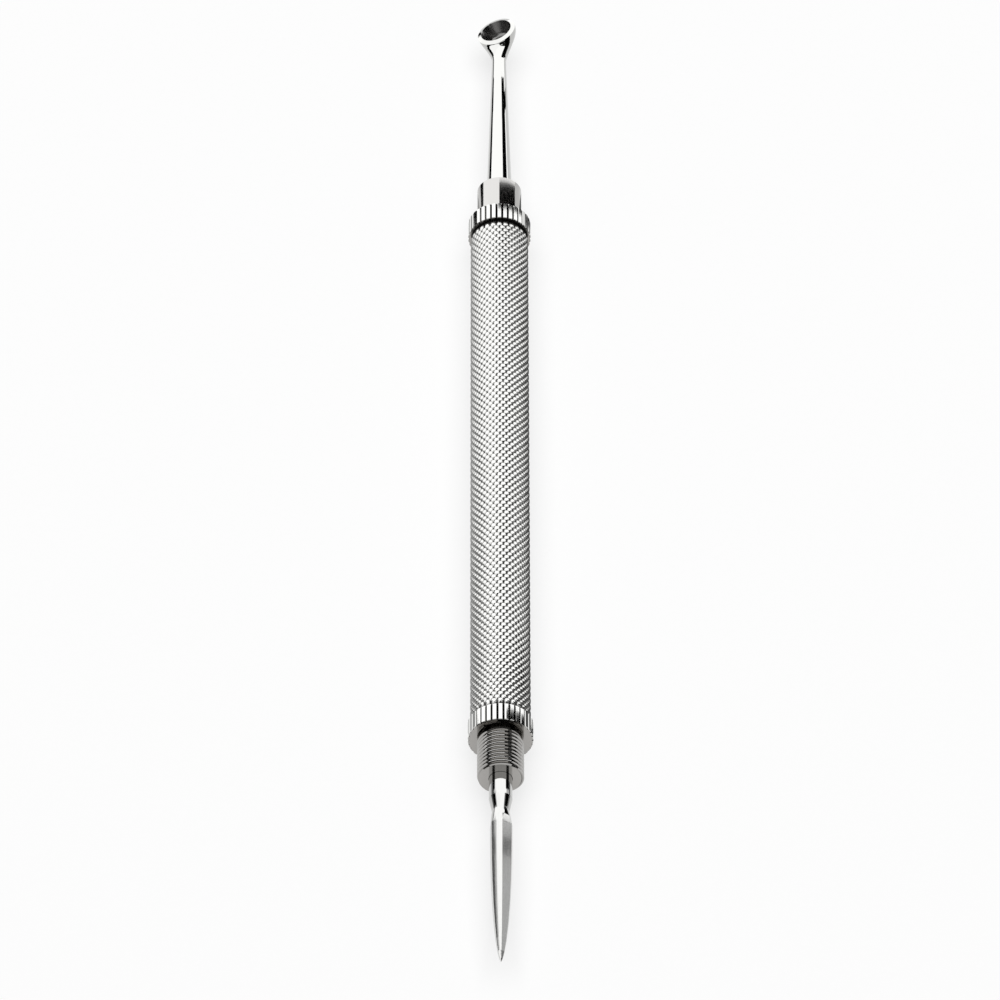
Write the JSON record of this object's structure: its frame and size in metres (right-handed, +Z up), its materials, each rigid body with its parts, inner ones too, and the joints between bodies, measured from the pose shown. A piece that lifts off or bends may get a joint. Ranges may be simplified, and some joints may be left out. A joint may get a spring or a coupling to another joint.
{
  "type": "blackhead extractor",
  "caption": "Double-ended steel blackhead extractor: knurled handle with a small tilted cup on a tapered stem at one end and a ground lancet at the other, both held by screw-in ferrules.",
  "frame": {"origin": "under the middle of the tool's length, on the surface that its two toothed rings rest on", "axes": "+Y along the tool from the lancet to the cup, +Z up, the side that the cup opens to; the axis of the tool is at z = 3.5 mm"},
  "size_m": [0.007, 0.1409, 0.007],
  "materials": {
    "knurled_steel": "bright, diamond knurled",
    "polished_steel": "mirror polished",
    "ground_steel": "ground and polished"
  },
  "bodies": {
    "handle": {"handle": "knurled_steel"},
    "cup": {"cup_extractor": "polished_steel"},
    "cup_ferrule": {"cup_ferrule": "polished_steel"},
    "lancet": {"lancet": "ground_steel"},
    "lancet_ferrule": {"lancet_ferrule": "polished_steel"}
  },
  "joints": [
    {"name": "cup_out", "type": "slide", "parent": "handle", "child": "cup", "axis": [0, 1, 0], "range_m": [0, 0.006]},
    {"name": "cup_ferrule_turn", "type": "hinge", "parent": "cup", "child": "cup_ferrule", "pos_m": [0, 0.0375, 0.0035], "axis": [0, 1, 0], "range_deg": [0, 4320]},
    {"name": "lancet_out", "type": "slide", "parent": "handle", "child": "lancet", "axis": [0, -1, 0], "range_m": [0, 0.006]},
    {"name": "lancet_ferrule_turn", "type": "hinge", "parent": "lancet", "child": "lancet_ferrule", "pos_m": [0, -0.04, 0.0035], "axis": [0, -1, 0], "range_deg": [0, 4320]}
  ],
  "couplings": [
    {"joint": "cup_ferrule_turn", "follows": "cup_out", "rad_per_m": 12566},
    {"joint": "lancet_ferrule_turn", "follows": "lancet_out", "rad_per_m": 12566}
  ]
}
